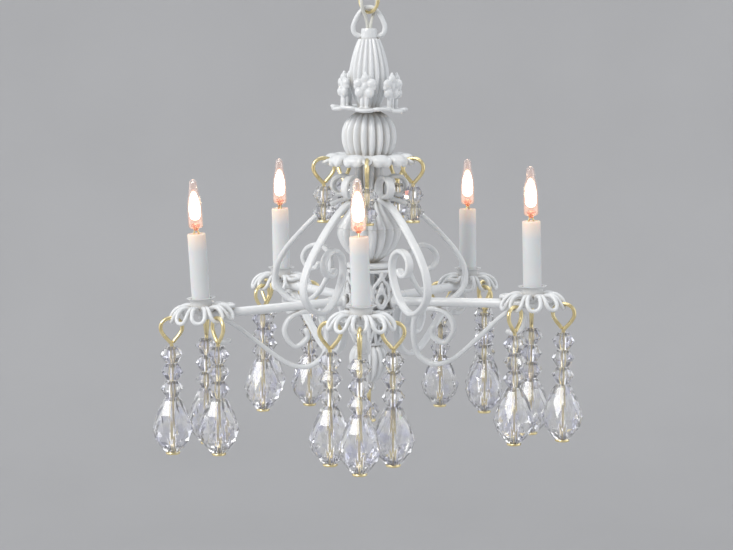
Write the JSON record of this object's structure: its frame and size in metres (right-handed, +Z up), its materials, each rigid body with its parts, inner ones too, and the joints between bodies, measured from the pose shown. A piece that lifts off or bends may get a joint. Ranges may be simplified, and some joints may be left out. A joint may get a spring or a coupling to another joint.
{
  "type": "miniature chandelier",
  "caption": "Doll's-house chandelier with enamelled scrolls and candle arms, wire drip pans hung with crystals, and a short chain down from a ceiling rose.",
  "frame": {"origin": "centre of the ceiling rose's flat top, where it meets the ceiling", "axes": "+Z up into the ceiling, -Y along the front arm, +X to the right as seen from in front"},
  "size_m": [0.0635, 0.0604, 0.0791],
  "materials": {
    "white_enamel": "semi-gloss",
    "brass": "polished",
    "crystal": "faceted, polished",
    "bulb_glass": "clear",
    "candle_plastic": "satin",
    "lead_insulation": "satin"
  },
  "bodies": {
    "ceiling": {"ceiling_rose": "white_enamel"},
    "upper_link": {"chain_link_1": "brass"},
    "lower_link": {"chain_link_2": "brass"},
    "fixture": {"bail": "white_enamel", "lead_pair": "lead_insulation", "stem": "white_enamel", "top_baluster": "white_enamel", "upper_ball": "white_enamel", "neck": "white_enamel", "vase": "white_enamel", "lower_finial": "white_enamel", "crown_plate": "white_enamel", "upper_canopy": "white_enamel", "hub_cage": "white_enamel", "scroll_1": "white_enamel", "scroll_2": "white_enamel", "scroll_3": "white_enamel", "scroll_4": "white_enamel", "scroll_5": "white_enamel", "arm_front": "white_enamel", "drip_pan_front": "white_enamel", "candle_front": "candle_plastic", "arm_right": "white_enamel", "drip_pan_right": "white_enamel", "candle_right": "candle_plastic", "arm_rear_right": "white_enamel", "drip_pan_rear_right": "white_enamel", "candle_rear_right": "candle_plastic", "arm_rear_left": "white_enamel", "drip_pan_rear_left": "white_enamel", "candle_rear_left": "candle_plastic", "arm_left": "white_enamel", "drip_pan_left": "white_enamel", "candle_left": "candle_plastic"},
    "bulb_front": {"bulb_front": "bulb_glass"},
    "crystal_front_outer": {"crystal_front_outer": "crystal"},
    "crystal_front_near": {"crystal_front_near": "crystal"},
    "crystal_front_far": {"crystal_front_far": "crystal"},
    "bulb_right": {"bulb_right": "bulb_glass"},
    "crystal_right_outer": {"crystal_right_outer": "crystal"},
    "crystal_right_near": {"crystal_right_near": "crystal"},
    "crystal_right_far": {"crystal_right_far": "crystal"},
    "bulb_rear_right": {"bulb_rear_right": "bulb_glass"},
    "crystal_rear_right_outer": {"crystal_rear_right_outer": "crystal"},
    "crystal_rear_right_near": {"crystal_rear_right_near": "crystal"},
    "crystal_rear_right_far": {"crystal_rear_right_far": "crystal"},
    "bulb_rear_left": {"bulb_rear_left": "bulb_glass"},
    "crystal_rear_left_outer": {"crystal_rear_left_outer": "crystal"},
    "crystal_rear_left_near": {"crystal_rear_left_near": "crystal"},
    "crystal_rear_left_far": {"crystal_rear_left_far": "crystal"},
    "bulb_left": {"bulb_left": "bulb_glass"},
    "crystal_left_outer": {"crystal_left_outer": "crystal"},
    "crystal_left_near": {"crystal_left_near": "crystal"},
    "crystal_left_far": {"crystal_left_far": "crystal"},
    "small_crystal_front": {"small_crystal_front": "crystal"},
    "small_crystal_right": {"small_crystal_right": "crystal"},
    "small_crystal_rear_right": {"small_crystal_rear_right": "crystal"},
    "small_crystal_rear_left": {"small_crystal_rear_left": "crystal"},
    "small_crystal_left": {"small_crystal_left": "crystal"},
    "centre_crystal": {"centre_crystal": "crystal"}
  },
  "joints": [
    {"name": "upper_chain_swing", "type": "hinge", "parent": "ceiling", "child": "upper_link", "pos_m": [0, 0, -0.00432], "axis": [0.7071, -0.7071, 0], "range_deg": [-15, 15]},
    {"name": "middle_chain_swing", "type": "hinge", "parent": "upper_link", "child": "lower_link", "pos_m": [0, 0, -0.00912], "axis": [0.7071, 0.7071, 0], "range_deg": [-15, 15]},
    {"name": "lower_chain_swing", "type": "hinge", "parent": "lower_link", "child": "fixture", "pos_m": [0, 0, -0.01392], "axis": [0.7071, -0.7071, 0], "range_deg": [-15, 15], "deforming": ["lead_pair"]},
    {"name": "unplug_bulb_front", "type": "slide", "parent": "fixture", "child": "bulb_front", "axis": [-0.0332, 0, 0.9995], "range_m": [0, 0.006]},
    {"name": "swing_crystal_front_outer", "type": "hinge", "parent": "fixture", "child": "crystal_front_outer", "pos_m": [0, -0.0303, -0.05765], "axis": [-1, 0, 0], "range_deg": [-3, 25]},
    {"name": "swing_crystal_front_near", "type": "hinge", "parent": "fixture", "child": "crystal_front_near", "pos_m": [-0.00442, -0.02421, -0.05765], "axis": [0.309, 0.9511, 0], "range_deg": [-3, 25]},
    {"name": "swing_crystal_front_far", "type": "hinge", "parent": "fixture", "child": "crystal_front_far", "pos_m": [0.00442, -0.02421, -0.05765], "axis": [0.309, -0.9511, 0], "range_deg": [-3, 25]},
    {"name": "unplug_bulb_right", "type": "slide", "parent": "fixture", "child": "bulb_right", "axis": [-0.0282, 0.0092, 0.9996], "range_m": [0, 0.006]},
    {"name": "swing_crystal_right_outer", "type": "hinge", "parent": "fixture", "child": "crystal_right_outer", "pos_m": [0.02882, -0.00937, -0.05686], "axis": [-0.309, -0.9511, 0], "range_deg": [-3, 25]},
    {"name": "swing_crystal_right_near", "type": "hinge", "parent": "fixture", "child": "crystal_right_near", "pos_m": [0.02167, -0.01169, -0.05704], "axis": [-0.809, 0.5878, 0], "range_deg": [-3, 25]},
    {"name": "swing_crystal_right_far", "type": "hinge", "parent": "fixture", "child": "crystal_right_far", "pos_m": [0.0244, -0.00328, -0.05704], "axis": [1, 0, 0], "range_deg": [-3, 25]},
    {"name": "unplug_bulb_rear_right", "type": "slide", "parent": "fixture", "child": "bulb_rear_right", "axis": [-0.0099, 0.0072, 0.9999], "range_m": [0, 0.006]},
    {"name": "swing_crystal_rear_right_outer", "type": "hinge", "parent": "fixture", "child": "crystal_rear_right_outer", "pos_m": [0.01781, 0.02451, -0.05765], "axis": [0.809, -0.5878, 0], "range_deg": [-3, 25]},
    {"name": "swing_crystal_rear_right_near", "type": "hinge", "parent": "fixture", "child": "crystal_rear_right_near", "pos_m": [0.01781, 0.01699, -0.05765], "axis": [-0.809, -0.5878, 0], "range_deg": [-3, 25]},
    {"name": "swing_crystal_rear_right_far", "type": "hinge", "parent": "fixture", "child": "crystal_rear_right_far", "pos_m": [0.01065, 0.02219, -0.05765], "axis": [0.309, 0.9511, 0], "range_deg": [-3, 25]},
    {"name": "unplug_bulb_rear_left", "type": "slide", "parent": "fixture", "child": "bulb_rear_left", "axis": [-0.0155, -0.0113, 0.9998], "range_m": [0, 0.006]},
    {"name": "swing_crystal_rear_left_outer", "type": "hinge", "parent": "fixture", "child": "crystal_rear_left_outer", "pos_m": [-0.01781, 0.02451, -0.05765], "axis": [0.809, 0.5878, 0], "range_deg": [-3, 25]},
    {"name": "swing_crystal_rear_left_near", "type": "hinge", "parent": "fixture", "child": "crystal_rear_left_near", "pos_m": [-0.01065, 0.02219, -0.05765], "axis": [0.309, -0.9511, 0], "range_deg": [-3, 25]},
    {"name": "swing_crystal_rear_left_far", "type": "hinge", "parent": "fixture", "child": "crystal_rear_left_far", "pos_m": [-0.01781, 0.01699, -0.05765], "axis": [-0.809, 0.5878, 0], "range_deg": [-3, 25]},
    {"name": "unplug_bulb_left", "type": "slide", "parent": "fixture", "child": "bulb_left", "axis": [-0.0581, -0.0189, 0.9981], "range_m": [0, 0.006]},
    {"name": "swing_crystal_left_outer", "type": "hinge", "parent": "fixture", "child": "crystal_left_outer", "pos_m": [-0.02874, -0.00934, -0.05928], "axis": [-0.309, 0.9511, 0], "range_deg": [-3, 25]},
    {"name": "swing_crystal_left_near", "type": "hinge", "parent": "fixture", "child": "crystal_left_near", "pos_m": [-0.02433, -0.00325, -0.05891], "axis": [1, 0, 0], "range_deg": [-3, 25]},
    {"name": "swing_crystal_left_far", "type": "hinge", "parent": "fixture", "child": "crystal_left_far", "pos_m": [-0.02159, -0.01167, -0.05891], "axis": [-0.809, -0.5878, 0], "range_deg": [-3, 25]},
    {"name": "swing_small_crystal_front", "type": "hinge", "parent": "fixture", "child": "small_crystal_front", "pos_m": [0, -0.007, -0.0361], "axis": [-1, 0, 0], "range_deg": [-4, 30]},
    {"name": "swing_small_crystal_right", "type": "hinge", "parent": "fixture", "child": "small_crystal_right", "pos_m": [0.00666, -0.00216, -0.0361], "axis": [-0.309, -0.9511, 0], "range_deg": [-4, 30]},
    {"name": "swing_small_crystal_rear_right", "type": "hinge", "parent": "fixture", "child": "small_crystal_rear_right", "pos_m": [0.00411, 0.00566, -0.0361], "axis": [0.809, -0.5878, 0], "range_deg": [-4, 30]},
    {"name": "swing_small_crystal_rear_left", "type": "hinge", "parent": "fixture", "child": "small_crystal_rear_left", "pos_m": [-0.00411, 0.00566, -0.0361], "axis": [0.809, 0.5878, 0], "range_deg": [-4, 30]},
    {"name": "swing_small_crystal_left", "type": "hinge", "parent": "fixture", "child": "small_crystal_left", "pos_m": [-0.00666, -0.00216, -0.0361], "axis": [-0.309, 0.9511, 0], "range_deg": [-4, 30]},
    {"name": "swing_centre_crystal", "type": "hinge", "parent": "fixture", "child": "centre_crystal", "pos_m": [0, 0, -0.071], "axis": [-1, 0, 0], "range_deg": [-15, 15]}
  ]
}
